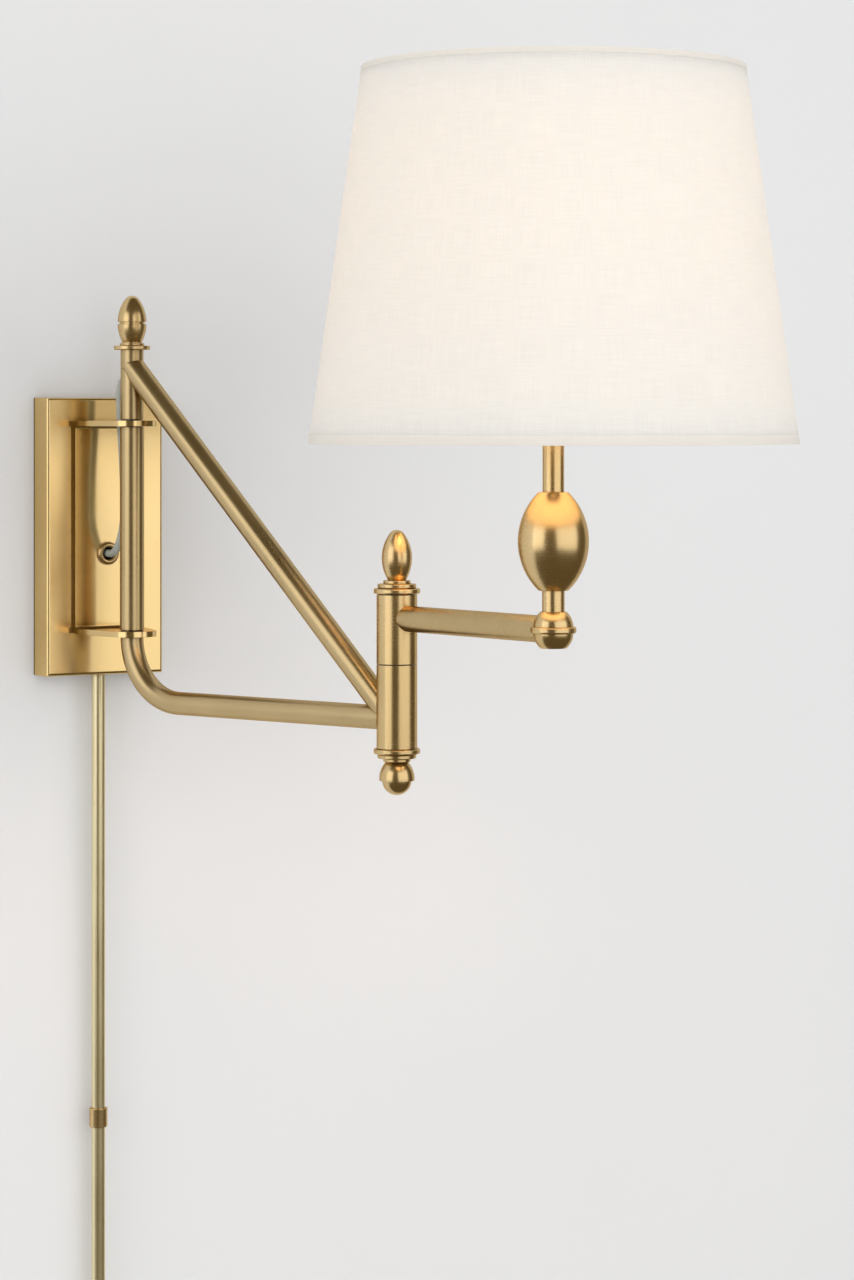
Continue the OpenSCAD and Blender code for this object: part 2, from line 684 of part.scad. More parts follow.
// Half outline of the pivot's finial: a dome over a cup, with a groove between them
module pivot_finial_outline() difference() {
    union() {
        intersection() {
            oval_outline(pivot_finial_r, pivot_finial_dome_h, pivot_finial_tip_r);
            square([pivot_finial_r, pivot_finial_dome_h]);
        }
        intersection() {
            arc_outline(pivot_finial_r, pivot_finial_foot_r, pivot_finial_cup_h);
            translate([0, -pivot_finial_cup_h]) square([pivot_finial_r, pivot_finial_cup_h]);
        }
    }
    translate([pivot_groove_r, -pivot_groove_h / 2]) square([pivot_finial_r, pivot_groove_h]);
}

module pivot_finial() color(BRASS) at_pivot(upper_tube_top + pivot_washer_h) difference() {
    union() {
        soft_disc(pivot_collar_r, pivot_collar_h, fine_edge);
        translate([0, 0, pivot_collar_h]) cylinder(r = pivot_neck_r, h = pivot_neck_h);
        rotate_extrude() translate([0, pivot_finial_z]) pivot_finial_outline();
    }
    translate([0, 0, -cut])
        cylinder(r = finial_stud_r + slip_gap, h = pivot_collar_h + finial_stud_h + 2 * cut);
}

// Bushing for the cord in the upper tube's back, its face rounded like the tube
module cord_exit_bushing() color([0.85, 0.87, 0.84]) intersection() {
    at_pivot(cord_exit_z) rotate([-90, 0, 0])
        translate([0, 0, tube_in_r]) tube(exit_hole_r, exit_bore_r, exit_reach);
    at_pivot(cord_exit_z - exit_hole_r - cut) cylinder(r = exit_reach, h = 2 * (exit_hole_r + cut));
}

// Lower arm: one tube, bent from the pivot out to the elbow
module bent_rod(r, turn) translate([bend_r, 0, arm_z + bend_r]) rotate([90, 0, 0]) rotate([0, 0, 180])
    rotate_extrude(angle = turn) translate([bend_r, 0]) circle(r = r);

module arm_rod(r) translate([bend_r, 0, arm_z]) rotate([0, 90, 0]) cylinder(r = r, h = inner_len - bend_r);

module lower_arm_tube() color(BRASS) along_inner() difference() {
    union() {
        bent_rod(tube_r, 90);
        arm_rod(tube_r);
    }
    bent_rod(tube_in_r, 90);
    arm_rod(tube_in_r);
    translate([0, 0, brace_top_z]) rotate([0, brace_tilt, 0])
        translate([0, 0, brace_len - 4 * barrel_r]) cylinder(r = lead_hole_r, h = 4 * barrel_r);
    translate([inner_len, 0, arm_z - 2 * tube_r]) cylinder(r = barrel_r, h = 4 * tube_r);
}

module arm_root_plug() color(STEEL) difference() {
    along_inner() bent_rod(tube_in_r, root_plug_turn);
    at_pivot(arm_tube_top - root_stud_h) cylinder(r = root_stud_r, h = root_stud_h + cut);
}

// Brace: cut to fit the upper tube, the elbow's barrel and the lower arm
module brace_tube() color(BRASS) difference() {
    brace_line() tube(brace_r, brace_in_r, brace_len);
    at_pivot(upper_tube_bottom) cylinder(r = tube_r, h = upper_tube_h);
    at_elbow(lower_barrel_bottom) cylinder(r = barrel_r, h = lower_barrel_h);
    along_inner() arm_rod(tube_r);
}

// Lead from the cord's exit through the upper tube and the brace to the elbow
module lead_in_brace() color([0.9, 0.9, 0.88]) {
    at_pivot(cord_exit_z) rotate([-90, 0, 0]) cylinder(r = lead_branch_r, h = tube_in_r);
    at_pivot(cord_exit_z - lead_r) cylinder(r = lead_r, h = brace_top_z - cord_exit_z + 2 * lead_r);
    brace_line() cylinder(r = lead_branch_r, h = brace_len - lead_stop / cos(brace_tilt - 90));
}

// Elbow
module elbow_lower_barrel() color(BRASS) difference() {
    at_elbow(lower_barrel_bottom) difference() {
        cylinder(r = barrel_r, h = lower_barrel_h);
        translate([0, 0, barrel_end_t]) cylinder(r = barrel_in_r, h = lower_barrel_h - 2 * barrel_end_t);
        translate([0, 0, -cut]) cylinder(r = spindle_r + slip_gap, h = lower_barrel_h + 2 * cut);
    }
    brace_line() translate([0, 0, brace_len - 2 * barrel_r]) cylinder(r = lead_hole_r, h = 2 * barrel_r);
}

// Hollow spindle, with a window for the lead in each barrel
module elbow_spindle() color(STEEL) difference() {
    at_elbow(bottom_stack_end - elbow_thread_h)
        tube(spindle_r, spindle_bore_r, top_stack_top - bottom_stack_end + 2 * elbow_thread_h);
    along_inner() translate([inner_len - 2 * spindle_r, -window_w / 2, brace_foot_z])
        cube([2 * spindle_r, window_w, window_h]);
    along_outer() translate([0, -window_w / 2, outer_z - window_h / 2])
        cube([2 * spindle_r, window_w, window_h]);
}

module elbow_washers() color(ACETAL) {
    at_elbow(lower_barrel_top) tube(elbow_washer_r, spindle_r + slip_gap, elbow_washer_t);
    at_elbow(upper_barrel_top + face_gap) tube(elbow_washer_r, spindle_r + slip_gap, elbow_washer_t);
}

module elbow_ring() difference() {
    soft_disc(elbow_ring_r, elbow_ring_t, ring_edge);
    translate([0, 0, -cut]) cylinder(r = spindle_r + slip_gap, h = elbow_ring_t + 2 * cut);
}

// Stepped disc: a narrow step, the disc, then a collar
module elbow_disc() difference() {
    union() {
        cylinder(r = elbow_step_r, h = elbow_ring_step);
        translate([0, 0, elbow_ring_step]) soft_disc(elbow_disc_r, elbow_disc_t, disc_edge);
        translate([0, 0, elbow_ring_step + elbow_disc_t])
            soft_disc(elbow_collar_r, elbow_collar_h, fine_edge);
    }
    translate([0, 0, -cut]) cylinder(r = spindle_r + slip_gap, h = 4 * elbow_disc_t);
}

module elbow_top_ring() color(BRASS) at_elbow(top_ring_bottom) elbow_ring();

module elbow_top_disc() color(BRASS) at_elbow(top_disc_bottom) elbow_disc();

module elbow_bottom_ring() color(BRASS) {
    at_elbow(bottom_disc_top) elbow_ring();
    at_elbow(bottom_ring_top) tube(elbow_step_r, spindle_r + slip_gap, elbow_ring_step);
}

module elbow_bottom_disc() color(BRASS) at_elbow(bottom_disc_top) mirror([0, 0, 1]) elbow_disc();

module elbow_finial() color(BRASS) at_elbow(top_stack_top) difference() {
    rotate_extrude() translate([0, elbow_finial_cut]) difference() {
        oval_outline(elbow_finial_r, elbow_finial_a, elbow_finial_tip_r);
        translate([0, -elbow_finial_a - cut])
            square([elbow_finial_r + cut, elbow_finial_a + cut - elbow_finial_cut]);
    }
    translate([0, 0, -cut]) cylinder(r = spindle_r + slip_gap, h = elbow_thread_h + cut);
}

// Acorn that ends the elbow: a domed cap with a lip over a ball
module elbow_acorn() color(BRASS) at_elbow(bottom_stack_end) mirror([0, 0, 1]) difference() {
    union() {
        rotate_extrude() intersection() {
            translate([acorn_lip_r - acorn_arc_r, acorn_cap_h]) circle(r = acorn_arc_r, $fn = 120);
            square([acorn_lip_r + cut, acorn_cap_h]);
        }
        translate([0, 0, acorn_cap_h]) cylinder(r = acorn_lip_r, h = acorn_lip_h);
        translate([0, 0, acorn_cap_h + acorn_lip_h]) intersection() {
            sphere(r = acorn_ball_r);
            cylinder(r = acorn_ball_r + cut, h = acorn_ball_r + cut);
        }
    }
    translate([0, 0, -cut]) cylinder(r = spindle_r + slip_gap, h = elbow_thread_h + cut);
}

module elbow_upper_barrel() color(BRASS) difference() {
    at_elbow(upper_barrel_bottom) tube(barrel_r, barrel_in_r, upper_barrel_h);
    along_outer() translate([0, 0, outer_z]) rotate([0, 90, 0]) cylinder(r = lead_hole_r, h = 2 * barrel_r);
}

module elbow_bushings() color(ACETAL)
    for (z = [upper_barrel_bottom, upper_barrel_top - elbow_bushing_h])
        at_elbow(z) tube(barrel_in_r, spindle_r + run_gap, elbow_bushing_h);

// Outer arm
module outer_rod(r, h) along_outer() translate([0, 0, outer_z]) rotate([0, 90, 0]) cylinder(r = r, h = h);

module outer_arm_tube() color(BRASS) difference() {
    outer_rod(outer_tube_r, outer_len - hub_tube_stop);
    outer_rod(outer_tube_r - tube_wall, outer_len);
    at_elbow(upper_barrel_bottom) cylinder(r = barrel_r, h = upper_barrel_h);
}

module lead_in_arm() color([0.9, 0.9, 0.88]) {
    along_outer() translate([lead_stop, 0, outer_z]) rotate([0, 90, 0])
        cylinder(r = lead_branch_r, h = outer_len - lead_stop);
    at_stem(-lead_r) cylinder(r = lead_r, h = core_bottom + lead_r);
}

// Hub: two hollow caps with a ring between them, around the outer arm's end
module hub_cap() translate([0, 0, hub_ring_h / 2]) rotate_extrude() difference() {
    intersection() {
        circle(r = hub_r);
        square([hub_r, hub_half_h - hub_ring_h / 2]);
    }
    intersection() {
        circle(r = hub_r - hub_shell_t);
        translate([0, -cut]) square([hub_r, hub_half_h - hub_ring_h / 2 - hub_shell_t + cut]);
    }
}

module hub_upper_cap() color(BRASS) difference() {
    at_stem() hub_cap();
    at_stem() cylinder(r = sleeve_bore_r, h = hub_half_h + cut);
    outer_rod(outer_tube_r, outer_len);
}

module hub_lower_cap() color(BRASS) difference() {
    at_stem() mirror([0, 0, 1]) hub_cap();
    outer_rod(outer_tube_r, outer_len);
}

module hub_ring() color(BRASS) difference() {
    at_stem(-hub_ring_h / 2) soft_disc(hub_ring_r, hub_ring_h, hub_ring_edge);
    at_stem(-hub_ring_h) cylinder(r = hub_r - hub_shell_t, h = 2 * hub_ring_h);
    outer_rod(outer_tube_r, outer_len);
}

// Stem
module lamp_pipe() color(STEEL) difference() {
    at_stem(pipe_bottom) tube(pipe_r, pipe_bore_r, core_bottom - pipe_bottom);
    outer_rod(window_w / 2, outer_len);
}

module stem_neck() color(BRASS) at_stem(neck_bottom) tube(neck_r, sleeve_bore_r, neck_h);

module stem_egg() color(BRASS) at_stem(egg_bottom + egg_h / 2) difference() {
    rotate_extrude() difference() {
        arc_outline(egg_r, egg_end_r, egg_h / 2);
        intersection() {
            arc_outline(egg_r - egg_shell_t, egg_end_r - egg_shell_t, egg_h / 2);
            translate([0, egg_floor_t - egg_h / 2]) square([egg_r, egg_h - 2 * egg_floor_t]);
        }
    }
    translate([0, 0, -egg_h]) cylinder(r = sleeve_bore_r, h = 2 * egg_h);
}

module stem_tube() color(BRASS) at_stem(stem_bottom) tube(stem_r, sleeve_bore_r, stem_h);

// Harp
module harp_saddle() color(BRASS) at_stem(stem_top) difference() {
    union() {
        translate([-saddle_half - saddle_t / 2, -saddle_w / 2, 0])
            cube([2 * saddle_half + saddle_t, saddle_w, saddle_t]);
        for (x = [-saddle_half, saddle_half]) translate([x - saddle_t / 2, -saddle_w / 2, 0])
            cube([saddle_t, saddle_w, saddle_t + saddle_arm_h]);
    }
    translate([0, 0, -cut]) cylinder(r = sleeve_bore_r, h = saddle_t + 2 * cut);
}

module harp_arc(r, turn)
    rotate([90, 0, 0]) rotate_extrude(angle = turn) translate([r, 0]) circle(r = harp_wire_r, $fn = edge_fn);

module harp_side() {
    translate([harp_half, 0, harp_curve_z])
        cylinder(r = harp_wire_r, h = harp_round_z - harp_curve_z, $fn = edge_fn);
    translate([harp_half - harp_curve_r, 0, harp_curve_z]) mirror([0, 0, 1])
        harp_arc(harp_curve_r, harp_curve_turn);
    translate([saddle_half, 0, harp_foot_z]) cylinder(r = ferrule_r, h = ferrule_h);
}

module harp() color(BRASS) at_stem() {
    translate([0, 0, harp_round_z]) harp_arc(harp_half, 180);
    for (side = [0, 1]) mirror([side, 0, 0]) harp_side();
    translate([0, 0, harp_top - harp_seat_h]) cylinder(r = harp_seat_r, h = harp_seat_h);
    translate([0, 0, harp_top]) cylinder(r = harp_stud_r, h = harp_stud_h);
}

module harp_finial() color(BRASS) at_stem(washer_z + washer_t) difference() {
    union() {
        soft_disc(harp_knob_flange_r, harp_knob_flange_h, disc_edge);
        translate([0, 0, harp_knob_flange_h]) cylinder(r = harp_knob_neck_r, h = harp_knob_neck_h);
        rotate_extrude() translate([0, harp_knob_z]) intersection() {
            oval_outline(harp_knob_r, harp_knob_a, harp_knob_tip_r);
            translate([0, harp_knob_sink - harp_knob_a]) square([harp_knob_r, 2 * harp_knob_a]);
        }
    }
    translate([0, 0, -cut]) cylinder(r = harp_stud_r + slip_gap, h = harp_stud_h - washer_t + cut);
}

// Socket
module socket_cap() color(BRASS) at_stem(socket_bottom) difference() {
    rotate_extrude() difference() {
        cap_outline(0);
        translate([0, socket_wall]) cap_outline(socket_wall);
    }
    translate([0, 0, -cut]) cylinder(r = sleeve_bore_r, h = 2 * cut + socket_wall);
}

// Half outline of the socket's cap: a round shoulder on a short neck
module cap_outline(inset) {
    square([socket_neck_r - inset, socket_cap_h]);
    intersection() {
        translate([socket_neck_r, socket_cap_h - socket_step_h])
            circle(r = socket_r - socket_neck_r - inset, $fn = 64);
        translate([0, socket_step_h]) square([socket_r, socket_cap_h - 2 * socket_step_h]);
    }
    translate([0, socket_cap_h - socket_step_h]) square([socket_r - inset, socket_step_h + inset]);
}

module socket_shell() color(BRASS) at_stem() difference() {
    translate([0, 0, socket_bottom + socket_cap_h])
        tube(socket_r, socket_r - socket_wall, socket_h - socket_cap_h);
    translate([0, 0, key_z]) rotate([90, 0, 0]) cylinder(r = key_hole_r, h = 2 * socket_r);
}

module socket_core() color([0.16, 0.14, 0.13]) at_stem() difference() {
    union() {
        translate([0, 0, core_bottom]) cylinder(r = core_r, h = core_h);
        translate([0, 0, core_bottom + core_h - core_lip_h])
            cylinder(r = socket_r - socket_wall, h = core_lip_h);
    }
    translate([0, 0, key_z]) rotate([90, 0, 0])
        translate([0, 0, core_r - key_depth]) cylinder(r = key_shaft_r + run_gap, h = socket_r);
}

module screw_shell() color(BRASS) at_stem(core_bottom + core_h)
    tube(screw_shell_r, screw_shell_r - screw_shell_t, screw_shell_h);

module switch_key() color([0.16, 0.14, 0.13]) at_stem(key_z) rotate([90, 0, 0]) {
    translate([0, 0, core_r - key_depth + face_gap])
        cylinder(r = key_shaft_r, h = key_start - core_r + key_depth - face_gap);
    translate([0, 0, key_start]) difference() {
        soft_disc(key_r, key_len, key_edge);
        for (a = [0 : key_flute_turn : 360 - key_flute_turn]) rotate([0, 0, a])
            translate([key_flute_reach, 0, -cut])
                cylinder(r = key_flute_r, h = key_len + 2 * cut, $fn = edge_fn);
    }
}

// Bulb
module bulb_base() color(STEEL) at_stem(bulb_bottom) {
    cylinder(r1 = bulb_tip_r, r2 = bulb_tip_top_r, h = bulb_tip_h);
    translate([0, 0, bulb_tip_h])
        tube(bulb_base_r, bulb_base_r - bulb_base_wall, bulb_base_h - bulb_tip_h);
    translate([0, 0, bulb_tip_h]) cylinder(r = bulb_base_r - bulb_base_wall, h = bulb_tip_h);
}

// The bulb's glass, or its hollow: a ball over a cone that nearly touches it
module glass_form(inset) {
    ball_r = bulb_r - inset;
    neck = bulb_base_r - inset;
    ball_z = bulb_len - bulb_r;
    reach = norm([neck, ball_z - bulb_base_h]);
    touch = acos(ball_r / reach) - atan2(ball_z - bulb_base_h, neck);
    translate([0, 0, ball_z]) sphere(r = ball_r);
    translate([0, 0, bulb_base_h - (inset > 0 ? cut : 0)]) cylinder(r = neck, h = glass_neck_h);
    translate([0, 0, bulb_base_h])
        cylinder(r1 = neck, r2 = ball_r * cos(touch) - glass_seam,
            h = ball_z + ball_r * sin(touch) - bulb_base_h);
}

module bulb_glass() color([0.98, 0.97, 0.93]) at_stem(bulb_bottom) difference() {
    glass_form(0);
    glass_form(glass_t);
}

// Shade
module shade_fabric() color(LINEN) at_stem(shade_bottom) difference() {
    cylinder(r1 = shade_bottom_r, r2 = shade_top_r, h = shade_h, $fn = wide_fn);
    shade_core(shade_t);
}

// What is left inside the shade, inset from its outer face
module shade_core(inset) {
    wall = inset / cos(shade_slope);
    slope = tan(shade_slope);
    translate([0, 0, -cut])
        cylinder(r1 = shade_bottom_r - wall + cut * slope, r2 = shade_top_r - wall - cut * slope,
            h = shade_h + 2 * cut, $fn = wide_fn);
}

module wire_ring(r) rotate_extrude($fn = wide_fn) translate([r, 0]) circle(r = shade_wire_r, $fn = edge_fn);

module shade_bottom_ring() color(STEEL) at_stem(shade_bottom + hem_drop) wire_ring(bottom_wire_ring_r);

module shade_top_ring() color(STEEL) at_stem(shade_top - hem_drop) wire_ring(top_wire_ring_r);

// Three arms from the top ring down to the washer that sits on the harp
module shade_spider() color(STEEL) at_stem() {
    for (a = [spider_first_arm : spider_arm_turn : 360]) rotate([0, 0, a])
        translate([spider_start_r, 0, shade_top - hem_drop]) rotate([0, -90 - spider_tilt, 0])
            cylinder(r = spider_wire_r, h = spider_arm_len, $fn = edge_fn);
    translate([0, 0, washer_z]) tube(washer_r, harp_stud_r + slip_gap, washer_t);
}

// Drawing
backplate();
mounting_plate();
plate_screws();
ground_screw();
bracket();
bracket_screws();
pivot_bushings();
grommet();
cord_clamp();
cord_cover_nut();
cord_cover_upper();
cord_cover_coupling();
cord_cover_lower();
cord_cover_bushing();
lamp_cord();
pivot_spindle();
pivot_mid_tube();
pivot_upper_tube();
upper_tube_plugs();
pivot_washer();
pivot_finial();
cord_exit_bushing();
lower_arm_tube();
arm_root_plug();
brace_tube();
elbow_lower_barrel();
elbow_spindle();
elbow_washers();
elbow_top_ring();
elbow_top_disc();
elbow_finial();
elbow_bottom_ring();
elbow_bottom_disc();
elbow_acorn();
lead_in_brace();
elbow_upper_barrel();
elbow_bushings();
outer_arm_tube();
hub_upper_cap();
hub_ring();
hub_lower_cap();
lamp_pipe();
stem_neck();
stem_egg();
stem_tube();
lead_in_arm();
harp_saddle();
harp();
harp_finial();
socket_cap();
socket_shell();
socket_core();
screw_shell();
bulb_base();
bulb_glass();
shade_fabric();
shade_bottom_ring();
shade_top_ring();
shade_spider();
switch_key();
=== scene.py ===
import json
import math

import bmesh
import bpy
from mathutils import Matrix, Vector

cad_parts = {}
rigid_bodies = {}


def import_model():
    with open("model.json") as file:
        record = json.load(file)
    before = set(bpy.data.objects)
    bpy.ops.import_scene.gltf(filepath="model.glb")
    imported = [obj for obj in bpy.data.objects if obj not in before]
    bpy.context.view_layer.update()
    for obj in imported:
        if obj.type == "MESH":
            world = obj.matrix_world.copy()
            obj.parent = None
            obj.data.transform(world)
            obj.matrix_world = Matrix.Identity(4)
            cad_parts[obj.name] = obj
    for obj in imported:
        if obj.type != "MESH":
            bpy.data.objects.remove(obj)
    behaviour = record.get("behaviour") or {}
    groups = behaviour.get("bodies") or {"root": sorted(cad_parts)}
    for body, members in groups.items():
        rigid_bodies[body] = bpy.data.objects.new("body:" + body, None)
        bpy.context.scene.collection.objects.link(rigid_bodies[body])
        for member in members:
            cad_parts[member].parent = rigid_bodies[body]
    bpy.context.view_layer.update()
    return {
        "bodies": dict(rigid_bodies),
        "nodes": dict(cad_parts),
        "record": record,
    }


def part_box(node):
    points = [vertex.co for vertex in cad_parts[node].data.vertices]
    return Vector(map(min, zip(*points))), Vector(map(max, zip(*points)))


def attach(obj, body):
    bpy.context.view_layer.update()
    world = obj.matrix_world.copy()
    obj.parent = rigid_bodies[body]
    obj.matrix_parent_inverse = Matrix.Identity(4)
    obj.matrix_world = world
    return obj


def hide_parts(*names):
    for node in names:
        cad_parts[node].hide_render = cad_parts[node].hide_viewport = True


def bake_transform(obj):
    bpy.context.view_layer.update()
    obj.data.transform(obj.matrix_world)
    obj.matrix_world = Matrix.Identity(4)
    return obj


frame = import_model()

RECORD = frame["record"]
NODES = frame["nodes"]
SLOT_OF = {s["node"]: s["material_slot"] for s in RECORD["subparts"]}

MM = 0.001

# ---------------------------------------------------------------- camera

CAMERA_AT = (-1.0115, -2.2332, 0.0841)
CAMERA_TURN = -30          # degrees about Z, from looking along +Y
SENSOR = 36                # on the picture's long side
LENS = 95.6
SHIFT_DOWN = -0.1734


def make_camera():
    data = bpy.data.cameras.new("camera")
    data.sensor_width = SENSOR
    data.lens = LENS
    data.shift_y = SHIFT_DOWN
    data.clip_start = 0.05
    data.clip_end = 50
    camera = bpy.data.objects.new("camera", data)
    camera.location = CAMERA_AT
    camera.rotation_euler = (math.radians(90), 0, math.radians(CAMERA_TURN))
    bpy.context.scene.collection.objects.link(camera)
    bpy.context.scene.camera = camera


make_camera()

# ---------------------------------------------------------------- mesh helpers


def new_object(name, mesh):
    obj = bpy.data.objects.new(name, mesh)
    bpy.context.scene.collection.objects.link(obj)
    return obj


def mesh_object(name, verts, faces, smooth=True):
    mesh = bpy.data.meshes.new(name)
    mesh.from_pydata(verts, [], faces)
    mesh.update()
    bm = bmesh.new()
    bm.from_mesh(mesh)
    bmesh.ops.recalc_face_normals(bm, faces=bm.faces)
    bm.to_mesh(mesh)
    bm.free()
    for face in mesh.polygons:
        face.use_smooth = smooth
    return new_object(name, mesh)


def turned(name, outline, steps, centre):
    """A closed outline of (radius, height) points, turned about a vertical axis through centre."""
    rows = len(outline)
    verts = []
    for i in range(steps):
        a = 2 * math.pi * i / steps
        for r, z in outline:
            verts.append((centre[0] + r * math.cos(a), centre[1] + r * math.sin(a), z))
    faces = []
    for i in range(steps):
        j = (i + 1) % steps
        for k in range(rows):
            m = (k + 1) % rows
            faces.append((i * rows + k, j * rows + k, j * rows + m, i * rows + m))
    obj = mesh_object(name, verts, faces)
    add_turned_uv(obj, centre)
    return obj


def add_turned_uv(obj, centre):
    """UV in metres: u along the widest circumference, v up."""
    mesh = obj.data
    layer = mesh.uv_layers.new(name="UVMap")
    radius = max(math.hypot(v.co.x - centre[0], v.co.y - centre[1]) for v in mesh.vertices)
    for face in mesh.polygons:
        angles = []
        for loop in face.loop_indices:
            co = mesh.vertices[mesh.loops[loop].vertex_index].co
            angles.append(math.atan2(co.y - centre[1], co.x - centre[0]))
        wraps = max(angles) - min(angles) > math.pi
        for loop, a in zip(face.loop_indices, angles):
            if wraps and a < 0:
                a += 2 * math.pi
            co = mesh.vertices[mesh.loops[loop].vertex_index].co
            layer.data[loop].uv = (a * radius, co.z)


def tube_rings(path, radius, sides):
    """Rings of points round a path that has no stretch along X."""
    rings = []
    for i, p in enumerate(path):
        a = path[max(i - 1, 0)]
        b = path[min(i + 1, len(path) - 1)]
        t = (Vector(b) - Vector(a)).normalized()
        u = Vector((1, 0, 0))
        u = (u - t * t.dot(u)).normalized()
        v = t.cross(u)
        rings.append([Vector(p) + radius * (math.cos(s) * u + math.sin(s) * v)
                      for s in (2 * math.pi * k / sides for k in range(sides))])
    return rings


def tube_mesh(path, radius, sides, verts, faces):
    """Adds a capped tube along path to verts and faces."""
    start = len(verts)
    rings = tube_rings(path, radius, sides)
    for ring in rings:
        verts.extend(ring)
    for i in range(len(rings) - 1):
        for k in range(sides):
            m = (k + 1) % sides
            a = start + i * sides
            faces.append((a + k, a + m, a + sides + m, a + sides + k))
    faces.append(tuple(start + k for k in range(sides)))
    last = start + (len(rings) - 1) * sides
    faces.append(tuple(last + k for k in reversed(range(sides))))


def smooth_path(points, per_span):
    """A smooth curve through the points."""
    out = []
    for i in range(len(points) - 1):
        p0 = Vector(points[max(i - 1, 0)])
        p1 = Vector(points[i])
        p2 = Vector(points[i + 1])
        p3 = Vector(points[min(i + 2, len(points) - 1)])
        for s in range(per_span):
            t = s / per_span
            out.append(0.5 * ((2 * p1) + (p2 - p0) * t + (2 * p0 - 5 * p1 + 4 * p2 - p3) * t * t
                              + (3 * p1 - p0 - 3 * p2 + p3) * t ** 3))
    out.append(Vector(points[-1]))
    return out


# ---------------------------------------------------------------- lamp cord

CORD_RADIUS = 2.75 * MM
CORE_RADIUS = 0.85 * MM
CORE_REACH = 1.15 * MM     # from the cord's middle to a core's middle
CORE_PITCH = 22 * MM       # length of one twist
CORD_SIDES = 20
CORE_SIDES = 10
CORD_STEPS = 4             # from one point of the route to the next
CORD_ROUTE = [
    (0, -58.5, 112), (0, -56.5, 112), (0, -53.6, 111.3), (0, -50.8, 109.4), (0, -48.8, 106.4),
    (0, -47.9, 102.5), (0, -47.8, 97), (0, -48.2, 90), (0, -49.1, 80.4), (0, -50.6, 70),
    (0, -52.2, 58), (0, -53.6, 45), (0, -54.6, 32), (0, -54.8, 20), (0, -53.6, 10),
    (0, -50.6, 2), (0, -46, -5), (0, -40.4, -9.6), (0, -34.8, -11.7), (0, -29, -12),
    (0, -24, -12), (0, -19.5, -12),
]


def make_cord():
    """Clear cord with two stranded cores that twist round each other inside it."""
    route = [tuple(c * MM for c in p) for p in CORD_ROUTE]
    path = smooth_path(route, CORD_STEPS)
    verts, faces = [], []
    tube_mesh(path, CORD_RADIUS, CORD_SIDES, verts, faces)
    cord = mesh_object("lamp_cord_jacket", verts, faces)
    cores = make_cores(path)
    for piece in (cord, cores):
        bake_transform(piece)
    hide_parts("lamp_cord")
    return cord, cores


def make_cores(path):
    """Two cores on opposite sides of the cord's middle, twisted round each other."""
    verts, faces = [], []
    for side in (0, math.pi):
        line = []
        walked = 0
        for i, p in enumerate(path):
            if i:
                walked += (path[i] - path[i - 1]).length
            t = (path[min(i + 1, len(path) - 1)] - path[max(i - 1, 0)]).normalized()
            u = Vector((1, 0, 0))
            v = t.cross(u)
            a = side + 2 * math.pi * walked / CORE_PITCH
            line.append(p + CORE_REACH * (math.cos(a) * u + math.sin(a) * v))
        tube_mesh(line[1:-1], CORE_RADIUS, CORE_SIDES, verts, faces)
    return mesh_object("lamp_cord_cores", verts, faces)


CORD, CORES = make_cord()

# ---------------------------------------------------------------- shade

shade_low, shade_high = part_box("shade_fabric")
STEM = ((shade_low[0] + shade_high[0]) / 2, (shade_low[1] + shade_high[1]) / 2)
SHADE_BOTTOM, SHADE_TOP = shade_low[2], shade_high[2]
SHADE_R_BOTTOM = (shade_high[0] - shade_low[0]) / 2
ring_low, ring_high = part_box("shade_top_ring")
RING_TO_FACE = 0.8 * MM    # from the top ring out to the linen's face
SHADE_R_TOP = (ring_high[0] - ring_low[0]) / 2 + RING_TO_FACE
SHADE_STEPS = 240
LINEN_ROWS = 24
BACKING_ROWS = 8
LINEN_SHORT = 0.6 * MM     # how far the linen stops short of each rim
BACKING_SHORT = 0.8 * MM
LINEN_INSETS = (0.4 * MM, 0.75 * MM)      # its outer and inner face, in from the shade's outer face
BACKING_INSETS = (0.8 * MM, 1.15 * MM)
LOW_HEM_H = 6 * MM
TOP_HEM_H = 3.5 * MM
HEM_INSET = 0.4 * MM
HEM_PROUD = 0.35 * MM
SEAM_TURN = 80             # degrees about Z, from +X
SEAM_W = 12 * MM
SEAM_END = 5 * MM          # how far the seam stops short of each rim
SEAM_ROWS = 20
SEAM_COLUMNS = 5
SEAM_FACE = 0.12 * MM      # insets of the seam's face, its edges and its back
SEAM_EDGE = 0.5 * MM
SEAM_BACK = 0.6 * MM


def shade_radius(z, inset=0.0):
    share = (z - SHADE_BOTTOM) / (SHADE_TOP - SHADE_BOTTOM)
    return SHADE_R_BOTTOM + (SHADE_R_TOP - SHADE_R_BOTTOM) * share - inset


def shell_outline(short, insets, rows):
    """A thin closed band that stops short of both rims, between two insets from the shade's outer face."""
    low = SHADE_BOTTOM + short
    high = SHADE_TOP - short
    heights = [low + (high - low) * i / rows for i in range(rows + 1)]
    outside = [(shade_radius(z, insets[0]), z) for z in heights]
    inside = [(shade_radius(z, insets[1]), z) for z in reversed(heights)]
    return outside + inside


def rolled_outline(low, high):
    """A hem tape folded over a rim: round on the outside, flat on the inside."""
    steps = 8
    roundness = 0.35       # the lower, the squarer the fold
    back_inset = 2.6 * HEM_INSET
    points = []
    for i in range(steps + 1):
        t = i / steps
        z = low + (high - low) * t
        bulge = HEM_PROUD * math.sin(math.pi * t) ** roundness if 0 < t < 1 else 0
        points.append((shade_radius(z, HEM_INSET) + bulge, z))
    for i in range(steps + 1):
        z = high - (high - low) * i / steps
        points.append((shade_radius(z, back_inset), z))
    return points


def shade_band(name, outline):
    """An outline turned about the stem."""
    return turned(name, outline, SHADE_STEPS, STEM)


